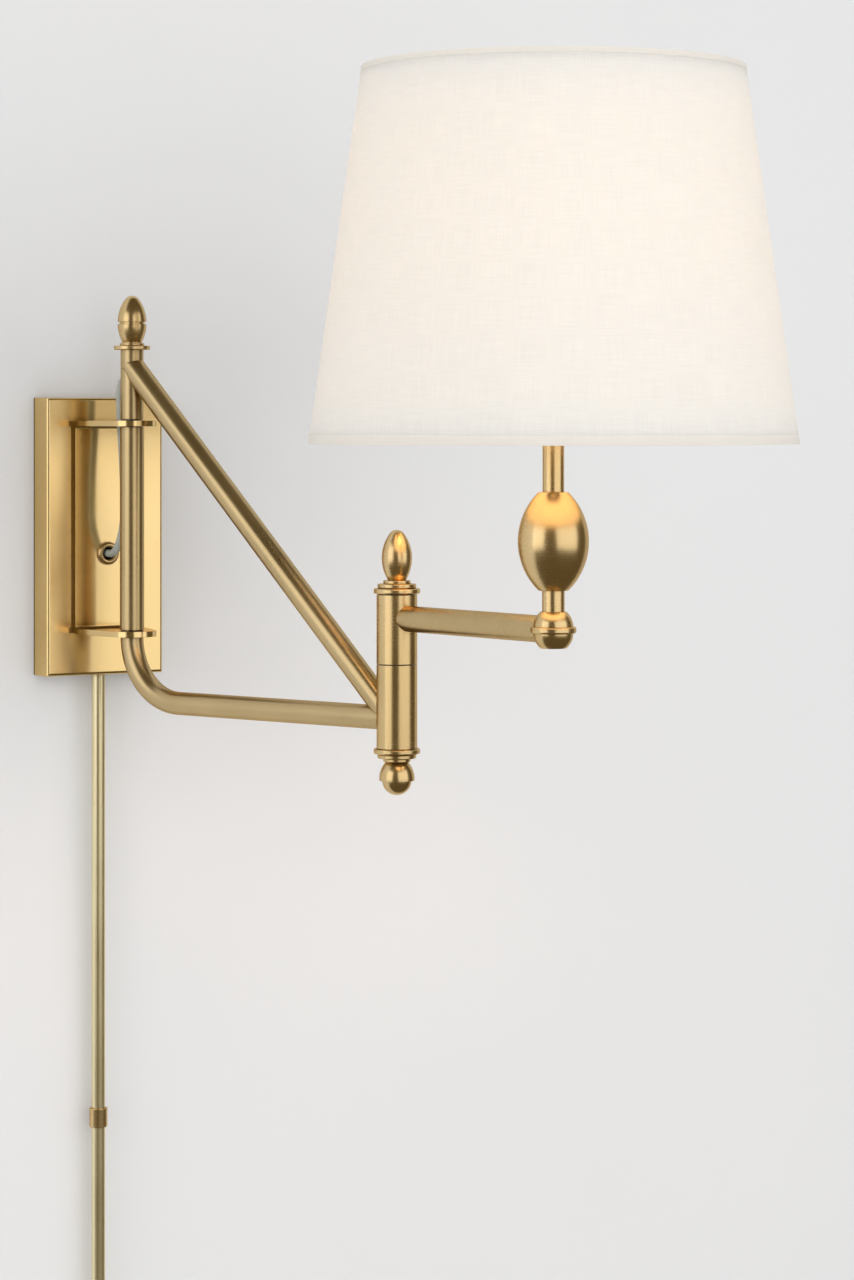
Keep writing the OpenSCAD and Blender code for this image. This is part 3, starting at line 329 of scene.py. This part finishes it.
def make_shade():
    """Linen on a backing, a folded hem at each rim, and a seam."""
    linen = shade_band("shade_linen", shell_outline(LINEN_SHORT, LINEN_INSETS, LINEN_ROWS))
    backing = shade_band("shade_backing", shell_outline(BACKING_SHORT, BACKING_INSETS, BACKING_ROWS))
    low_hem = shade_band("shade_hem_bottom", rolled_outline(SHADE_BOTTOM, SHADE_BOTTOM + LOW_HEM_H))
    top_hem = shade_band("shade_hem_top", rolled_outline(SHADE_TOP - TOP_HEM_H, SHADE_TOP))
    seam = make_seam()
    pieces = [linen, backing, low_hem, top_hem, seam]
    for piece in pieces:
        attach(piece, "outer_arm")
    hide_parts("shade_fabric")
    return pieces


def seam_point(share, z, inset):
    """A point of the seam, at a share of its width and an inset from the shade's outer face."""
    r = shade_radius(z, inset)
    a = math.radians(SEAM_TURN) + (share - 0.5) * SEAM_W / r
    return (STEM[0] + r * math.cos(a), STEM[1] + r * math.sin(a), z)


def make_seam():
    """The lap where the linen's ends are glued, on the side towards the wall."""
    verts, faces = [], []
    last = SEAM_COLUMNS - 1
    loop = 2 * SEAM_COLUMNS
    for i in range(SEAM_ROWS + 1):
        z = SHADE_BOTTOM + SEAM_END + (SHADE_TOP - SHADE_BOTTOM - 2 * SEAM_END) * i / SEAM_ROWS
        for k in range(SEAM_COLUMNS):
            verts.append(seam_point(k / last, z, SEAM_FACE if 0 < k < last else SEAM_EDGE))
        for k in reversed(range(SEAM_COLUMNS)):
            verts.append(seam_point(k / last, z, SEAM_BACK))
    for i in range(SEAM_ROWS):
        for k in range(loop):
            m = (k + 1) % loop
            faces.append((i * loop + k, i * loop + m, (i + 1) * loop + m, (i + 1) * loop + k))
    faces.append(tuple(range(loop)))
    faces.append(tuple(SEAM_ROWS * loop + k for k in reversed(range(loop))))
    obj = mesh_object("shade_seam", verts, faces)
    add_turned_uv(obj, STEM)
    return obj


LINEN, BACKING, LOW_HEM, TOP_HEM, SEAM = make_shade()

# ---------------------------------------------------------------- materials


class Shader:
    """A material's node tree, with short calls to add and join nodes."""

    def __init__(self, name):
        self.material = bpy.data.materials.new(name)
        self.material.use_nodes = True
        self.tree = self.material.node_tree
        self.tree.nodes.clear()
        self.out = self.add("OutputMaterial")
        self.object_at = self.add("TexCoord").outputs["Object"]

    def add(self, kind, **values):
        node = self.tree.nodes.new("ShaderNode" + kind)
        for key, value in values.items():
            setattr(node, key, value)
        return node

    def join(self, a, b):
        self.tree.links.new(a, b)

    def stretched(self, scale, source=None):
        node = self.add("Mapping")
        node.inputs["Scale"].default_value = scale
        self.join(source or self.object_at, node.inputs["Vector"])
        return node.outputs["Vector"]

    def noise(self, scale, detail=3, rough=0.55, vector=None):
        node = self.add("TexNoise")
        node.inputs["Scale"].default_value = scale
        node.inputs["Detail"].default_value = detail
        node.inputs["Roughness"].default_value = rough
        self.join(vector or self.object_at, node.inputs["Vector"])
        return node.outputs["Fac"]

    def remap(self, source, low, high, new_low, new_high):
        node = self.add("MapRange")
        for key, value in zip(("From Min", "From Max", "To Min", "To Max"), (low, high, new_low, new_high)):
            node.inputs[key].default_value = value
        self.join(source, node.inputs["Value"])
        return node.outputs["Result"]

    def ramp(self, source, stops):
        node = self.add("ValToRGB")
        elements = node.color_ramp.elements
        while len(elements) < len(stops):
            elements.new(0.5)
        for element, (at, color) in zip(elements, stops):
            element.position = at
            element.color = (*color, 1)
        self.join(source, node.inputs["Fac"])
        return node.outputs["Color"]

    def mix(self, fac, a, b):
        node = self.add("Mix", data_type="RGBA")
        for socket, value in ((node.inputs[0], fac), (node.inputs[6], a), (node.inputs[7], b)):
            if hasattr(value, "links"):
                self.join(value, socket)
            elif isinstance(value, tuple):
                socket.default_value = (*value, 1)
            else:
                socket.default_value = value
        return node.outputs[2]

    def maths(self, kind, a, b):
        node = self.add("Math", operation=kind)
        for socket, value in zip(node.inputs, (a, b)):
            if hasattr(value, "links"):
                self.join(value, socket)
            else:
                socket.default_value = value
        return node.outputs[0]

    def bump(self, height, strength, distance, normal=None):
        node = self.add("Bump")
        node.inputs["Strength"].default_value = strength
        node.inputs["Distance"].default_value = distance
        self.join(height, node.inputs["Height"])
        if normal is not None:
            self.join(normal, node.inputs["Normal"])
        return node.outputs["Normal"]

    def principled(self, **values):
        node = self.add("BsdfPrincipled")
        for key, value in values.items():
            socket = node.inputs[key.replace("_", " ")]
            if hasattr(value, "links"):
                self.join(value, socket)
            elif isinstance(value, tuple):
                socket.default_value = (*value, 1)
            else:
                socket.default_value = value
        return node

    def finish(self, shader):
        self.join(shader.outputs[0], self.out.inputs["Surface"])
        return self.material


# The darker and the lighter tone of each brass; the plate's and the cord cover's are lightened as painted
# light, the arm tubes' darkened as painted shade
BRASS = ((0.68, 0.50, 0.245), (0.76, 0.565, 0.295))
PLATE_TONES_PAINTED_LIGHT = ((0.78, 0.575, 0.265), (0.84, 0.63, 0.31))
ARM_TONES_PAINTED_SHADE = ((0.54, 0.41, 0.215), (0.61, 0.465, 0.25))
COVER_TONES_PAINTED_LIGHT = ((0.92, 0.82, 0.52), (0.97, 0.88, 0.58))
# Dark brown of the brass's grain and speckles, and also the colour of its painted shade in hollows
BRASS_DEEP_AND_SHADE = (0.32, 0.19, 0.065)
BRASS_EDGE = (0.72, 0.60, 0.46)


def brass(name, grain, rough=0.26, grain_strength=0.03, tones=BRASS):
    """Hand-rubbed brass, with painted shade in its hollows and where parts meet. grain is the scale of the
    brushing along X, Y and Z.
    """
    s = Shader(name)
    lines = s.noise(1.0, 2, 0.5, s.stretched(grain))
    cloud = s.noise(16, 3, 0.5)
    fine = s.noise(260, 2, 0.6)
    tone = s.ramp(cloud, [(0.30, tones[0]), (0.62, tones[1])])
    tone = s.mix(s.remap(fine, 0.6, 0.85, 0, 0.10), tone, BRASS_DEEP_AND_SHADE)
    tone = s.mix(0.05, tone, s.ramp(lines, [(0.3, BRASS_DEEP_AND_SHADE), (0.7, tones[1])]))
    # Painted shade: darker brown where other surfaces lie within 5 mm, in hollows and where parts meet
    painted_hollow_shade = s.add("AmbientOcclusion", samples=6)
    painted_hollow_shade.inputs["Distance"].default_value = 5 * MM
    tone = s.mix(s.remap(painted_hollow_shade.outputs["AO"], 0.2, 0.8, 0.6, 0.0), tone, BRASS_DEEP_AND_SHADE)
    roughness = s.maths("ADD", s.remap(cloud, 0.3, 0.7, rough - 0.02, rough + 0.03),
                        s.remap(lines, 0.3, 0.7, -0.01, 0.02))
    edge = s.add("Bevel", samples=4)
    edge.inputs["Radius"].default_value = 0.35 * MM
    normal = s.bump(lines, grain_strength, 0.02 * MM, edge.outputs["Normal"])
    return s.finish(s.principled(Base_Color=tone, Metallic=1.0, Roughness=roughness, Normal=normal,
                                 Specular_Tint=BRASS_EDGE))


def metal(name, light, dark, rough):
    """Bare or plated metal with a fine grain."""
    s = Shader(name)
    cloud = s.noise(60, 4, 0.6)
    grain = s.noise(1.0, 2, 0.5, s.stretched((300, 300, 2200)))
    tone = s.ramp(cloud, [(0.3, dark), (0.7, light)])
    normal = s.bump(grain, 0.2, 0.02 * MM)
    roughness = s.remap(cloud, 0.3, 0.7, rough, rough + 0.12)
    return s.finish(s.principled(Base_Color=tone, Metallic=1.0, Roughness=roughness, Normal=normal))


def plastic(name, light, dark, rough):
    """Moulded or dipped plastic with faint pores."""
    s = Shader(name)
    cloud = s.noise(90, 3, 0.55)
    pores = s.noise(1800, 2, 0.5)
    tone = s.ramp(cloud, [(0.35, dark), (0.65, light)])
    normal = s.bump(pores, 0.12, 0.03 * MM)
    roughness = s.remap(cloud, 0.3, 0.7, rough, rough + 0.1)
    return s.finish(s.principled(Base_Color=tone, Roughness=roughness, Normal=normal))


def clear_jacket():
    """Clear vinyl, a little grey-green, with faint ripples along it."""
    s = Shader("clear_vinyl")
    cloud = s.noise(120, 3, 0.5)
    tone = s.ramp(cloud, [(0.3, (0.56, 0.60, 0.53)), (0.7, (0.68, 0.71, 0.64))])
    ripple = s.noise(1.0, 2, 0.5, s.stretched((900, 900, 180)))
    return s.finish(s.principled(Base_Color=tone, Roughness=s.remap(cloud, 0.3, 0.7, 0.16, 0.26),
                                 Transmission_Weight=0.35, IOR=1.5, Normal=s.bump(ripple, 0.15, 0.05 * MM)))


def core_strands():
    """Tinned wire strands."""
    s = Shader("tinned_cores")
    strands = s.noise(1.0, 2, 0.5, s.stretched((2600, 2600, 500)))
    tone = s.ramp(strands, [(0.35, (0.42, 0.44, 0.38)), (0.65, (0.78, 0.79, 0.74))])
    normal = s.bump(strands, 0.5, 0.08 * MM)
    return s.finish(s.principled(Base_Color=tone, Metallic=0.6, Roughness=0.38, Normal=normal))


THREADS = 330              # scale of the weave's bands
# Colour of the painted glow: emission on cloth that stands in for the lamp's light
PAINTED_LAMP_GLOW = (1.0, 0.70, 0.34)


def linen_material(name, tint, translucency, weave_depth, painted_glow_strength=0.0):
    """Plain-weave linen: uneven threads both ways, lit through from inside, plus an optional painted glow
    of lamp light as emission.
    """
    s = Shader(name)
    uv = s.add("UVMap", uv_map="UVMap").outputs["UV"]
    across = s.add("TexWave", wave_type="BANDS", bands_direction="X")
    up = s.add("TexWave", wave_type="BANDS", bands_direction="Y")
    for wave in (across, up):
        wave.inputs["Scale"].default_value = THREADS
        wave.inputs["Distortion"].default_value = 1.4
        wave.inputs["Detail"].default_value = 2
        wave.inputs["Detail Scale"].default_value = 0.6
        s.join(uv, wave.inputs["Vector"])
    slub_up = s.noise(1.0, 3, 0.6, s.stretched((1500, 45, 1), uv))
    slub_across = s.noise(1.0, 3, 0.6, s.stretched((40, 1500, 1), uv))
    slubs = s.maths("ADD", slub_up, slub_across)
    weave = s.maths("ADD", s.maths("MULTIPLY", across.outputs["Fac"], up.outputs["Fac"]), slubs)
    shadowed = tuple(0.945 * c for c in tint)
    tone = s.ramp(s.remap(slubs, 0.7, 1.3, 0, 1), [(0.2, shadowed), (0.8, tint)])
    tone = s.mix(0.06, tone, s.ramp(across.outputs["Fac"], [(0.0, shadowed), (1.0, tint)]))
    normal = s.bump(weave, weave_depth, 0.12 * MM)
    cloth = s.principled(Base_Color=tone, Roughness=0.88, Sheen_Weight=0.8, Sheen_Roughness=0.5,
                         Normal=normal, Emission_Color=PAINTED_LAMP_GLOW, Emission_Strength=painted_glow_strength)
    glow = s.add("BsdfTranslucent")
    s.join(tone, glow.inputs["Color"])
    s.join(normal, glow.inputs["Normal"])
    both = s.add("MixShader")
    both.inputs["Fac"].default_value = translucency
    s.join(cloth.outputs[0], both.inputs[1])
    s.join(glow.outputs[0], both.inputs[2])
    return s.finish(both)


def bulb_material():
    """Frosted glass, lit."""
    s = Shader("frosted_bulb")
    cloud = s.noise(80, 2, 0.5)
    tone = s.ramp(cloud, [(0.3, (0.95, 0.93, 0.88)), (0.7, (1.0, 0.98, 0.94))])
    return s.finish(s.principled(Base_Color=tone, Roughness=0.35, Emission_Color=(1.0, 0.80, 0.55),
                                 Emission_Strength=2.5, Normal=s.bump(cloud, 0.05, 0.05 * MM)))


# Scales of the brushing along X, Y and Z
ALONG_X = (30, 900, 2600)
ROUND_Z = (60, 60, 2600)
ALONG_Z = (1600, 1600, 40)
EVEN = (2400, 2400, 2400)

MATERIALS = {
    "aged_brass": brass("brass_turned", ROUND_Z),
    "bright_brass": brass("brass_bright", ROUND_Z, rough=0.16, grain_strength=0.12),
    "plated_steel": metal("zinc_steel", (0.68, 0.69, 0.70), (0.50, 0.51, 0.52), 0.34),
    "screw_shell": metal("bare_aluminium", (0.85, 0.85, 0.85), (0.66, 0.66, 0.66), 0.28),
    "green_screw": plastic("green_dip", (0.10, 0.38, 0.17), (0.05, 0.26, 0.11), 0.35),
    "nylon": plastic("nylon", (0.86, 0.84, 0.78), (0.76, 0.74, 0.67), 0.45),
    "black_plastic": plastic("black_phenolic", (0.045, 0.042, 0.040), (0.022, 0.020, 0.019), 0.32),
    "clear_cord": clear_jacket(),
    "lead": plastic("white_vinyl", (0.86, 0.86, 0.82), (0.76, 0.76, 0.72), 0.4),
    "bulb_glass": bulb_material(),
    "linen": linen_material("linen_white", (0.935, 0.94, 0.93), 0.39, 0.16),
}
# The plate's and cord cover's brass take lighter tones as painted light, the arm tubes' brass darker tones
# as painted shade
PLATE_BRASS = brass("brass_brushed_flat_painted_light", ALONG_X, rough=0.16, grain_strength=0.05, tones=PLATE_TONES_PAINTED_LIGHT)
TUBE_BRASS = brass("brass_drawn_tube_painted_shade", EVEN, rough=0.28, grain_strength=0.05, tones=ARM_TONES_PAINTED_SHADE)
SPUN_BRASS = brass("brass_spun", ROUND_Z, rough=0.25, grain_strength=0.025)
COVER_BRASS = brass("brass_cord_cover_painted_light", ALONG_Z, rough=0.32, grain_strength=0.05, tones=COVER_TONES_PAINTED_LIGHT)
SPECIAL = {
    "backplate": PLATE_BRASS,
    "bracket": PLATE_BRASS,
    "lower_arm_tube": TUBE_BRASS,
    "brace_tube": TUBE_BRASS,
    "outer_arm_tube": TUBE_BRASS,
    "pivot_upper_tube": TUBE_BRASS,
    "pivot_mid_tube": TUBE_BRASS,
    "stem_egg": SPUN_BRASS,
    "elbow_finial": SPUN_BRASS,
    "pivot_finial": SPUN_BRASS,
    "hub_upper_cap": SPUN_BRASS,
    "hub_lower_cap": SPUN_BRASS,
    "elbow_acorn": SPUN_BRASS,
    "cord_cover_upper": COVER_BRASS,
    "cord_cover_lower": COVER_BRASS,
}


def set_material(obj, material):
    obj.data.materials.clear()
    obj.data.materials.append(material)


for node_name, node in NODES.items():
    set_material(node, SPECIAL.get(node_name, MATERIALS[SLOT_OF[node_name]]))
set_material(CORD, MATERIALS["clear_cord"])
set_material(CORES, core_strands())
set_material(LINEN, MATERIALS["linen"])
# The hems glow a little as painted light
HEM_LINEN = linen_material("linen_hem", (0.95, 0.94, 0.92), 0.45, 0.18, painted_glow_strength=0.15)
for piece in (LOW_HEM, TOP_HEM, SEAM):
    set_material(piece, HEM_LINEN)
# The backing glows as painted lamp light
set_material(BACKING, linen_material("styrene_backing", (0.95, 0.95, 0.94), 0.5, 0.02, painted_glow_strength=0.46))

# ---------------------------------------------------------------- surroundings

WALL_GREY = (0.80, 0.80, 0.80)
FLOOR_GREY = (0.74, 0.74, 0.74)
PAINT_SCALE = 3
WALL_Y = 0.4 * MM          # just behind the wall plate's back face
WALL_TOP = 4
FLOOR_Z = -1.15
FLOOR_FRONT = -8
ROOM_SIDE = 6
TOUCHING = 2 * MM          # rays shorter than this pass the wall, so the wall plate's back isn't black


def one_sided(name, color):
    """A pale matt surface that is only there from its front, and not for rays shorter than TOUCHING."""
    s = Shader(name)
    cloud = s.noise(PAINT_SCALE, 2, 0.5)
    tone = s.ramp(cloud, [(0.3, tuple(0.985 * c for c in color)), (0.7, color)])
    paint = s.principled(Base_Color=tone, Roughness=0.9)
    clear = s.add("BsdfTransparent")
    behind = s.add("NewGeometry").outputs["Backfacing"]
    rays = s.add("LightPath")
    touching = s.maths("LESS_THAN", rays.outputs["Ray Length"], TOUCHING)
    mix = s.add("MixShader")
    s.join(s.maths("MAXIMUM", behind, touching), mix.inputs["Fac"])
    s.join(paint.outputs[0], mix.inputs[1])
    s.join(clear.outputs[0], mix.inputs[2])
    return s.finish(mix)


def backdrop(name, corners, material):
    mesh = bpy.data.meshes.new(name)
    mesh.from_pydata(corners, [], [(0, 1, 2, 3)])
    obj = new_object(name, mesh)
    set_material(obj, material)
    return obj


WALL_CORNERS = [(-ROOM_SIDE, WALL_Y, FLOOR_Z), (ROOM_SIDE, WALL_Y, FLOOR_Z),
                (ROOM_SIDE, WALL_Y, WALL_TOP), (-ROOM_SIDE, WALL_Y, WALL_TOP)]
FLOOR_CORNERS = [(-ROOM_SIDE, FLOOR_FRONT, FLOOR_Z), (ROOM_SIDE, FLOOR_FRONT, FLOOR_Z),
                 (ROOM_SIDE, WALL_Y, FLOOR_Z), (-ROOM_SIDE, WALL_Y, FLOOR_Z)]
backdrop("wall", WALL_CORNERS, one_sided("wall_paint", WALL_GREY))
FLOOR = backdrop("floor", FLOOR_CORNERS, one_sided("floor_paint", FLOOR_GREY))
FLOOR.visible_glossy = False

VIEW_DIR = Vector((math.sin(math.radians(-CAMERA_TURN)), math.cos(math.radians(-CAMERA_TURN)), 0))
AIM = Vector((0.03, -0.25, 0.0))
SOFTBOX_DISTANCE = 2.3
SOFTBOX_HEIGHT = 0.4


def softbox(name, turn, size, power):
    """A rectangular lamp that looks at AIM, turned from the camera's side about the vertical."""
    data = bpy.data.lights.new(name, "AREA")
    data.shape = "RECTANGLE"
    data.size, data.size_y = size
    data.energy = power
    lamp = bpy.data.objects.new(name, data)
    a = math.radians(turn)
    back = -VIEW_DIR
    side = Vector((back.x * math.cos(a) - back.y * math.sin(a),
                   back.x * math.sin(a) + back.y * math.cos(a), 0))
    lamp.location = AIM + side * SOFTBOX_DISTANCE + Vector((0, 0, SOFTBOX_HEIGHT))
    lamp.rotation_euler = (AIM - lamp.location).to_track_quat("-Z", "Y").to_euler()
    bpy.context.scene.collection.objects.link(lamp)


softbox("softbox_left", -54, (2.4, 1.9), 19)
softbox("softbox_right", 46, (3.2, 1.9), 22)


def bulb_light():
    """The lit bulb's light, which moves with the outer arm and isn't held back by the bulb's glass."""
    low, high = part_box("bulb_glass")
    data = bpy.data.lights.new("bulb_light", "POINT")
    data.energy = 0.8
    data.color = (1.0, 0.47, 0.16)
    data.shadow_soft_size = 0.026
    lamp = bpy.data.objects.new("bulb_light", data)
    lamp.location = ((low[0] + high[0]) / 2, (low[1] + high[1]) / 2, high[2] - (high[0] - low[0]) / 2)
    bpy.context.scene.collection.objects.link(lamp)
    lamp.parent = frame["bodies"]["outer_arm"]
    NODES["bulb_glass"].visible_shadow = False


bulb_light()


MATT_LIGHT = (0.76, 0.765, 0.77)
POLISHED_LIGHT = (0.125, 0.10, 0.055)
SEEN_GREY = (0.78, 0.78, 0.78)


def set_world():
    """Soft light on matt surfaces, a dim warm room in polished ones, pale grey past the backdrop."""
    world = bpy.data.worlds.new("studio")
    world.use_nodes = True
    tree = world.node_tree
    rays = tree.nodes.new("ShaderNodeLightPath")
    color = None
    for name, seen in (("Is Glossy Ray", POLISHED_LIGHT), ("Is Camera Ray", SEEN_GREY)):
        mix = tree.nodes.new("ShaderNodeMix")
        mix.data_type = "RGBA"
        mix.inputs[6].default_value = (*MATT_LIGHT, 1)
        mix.inputs[7].default_value = (*seen, 1)
        tree.links.new(rays.outputs[name], mix.inputs[0])
        if color is not None:
            tree.links.new(color, mix.inputs[6])
        color = mix.outputs[2]
    tree.links.new(color, tree.nodes["Background"].inputs["Color"])
    bpy.context.scene.world = world
    bpy.context.scene.view_settings.view_transform = "Standard"


set_world()

# ---------------------------------------------------------------- final update

bpy.context.view_layer.update()
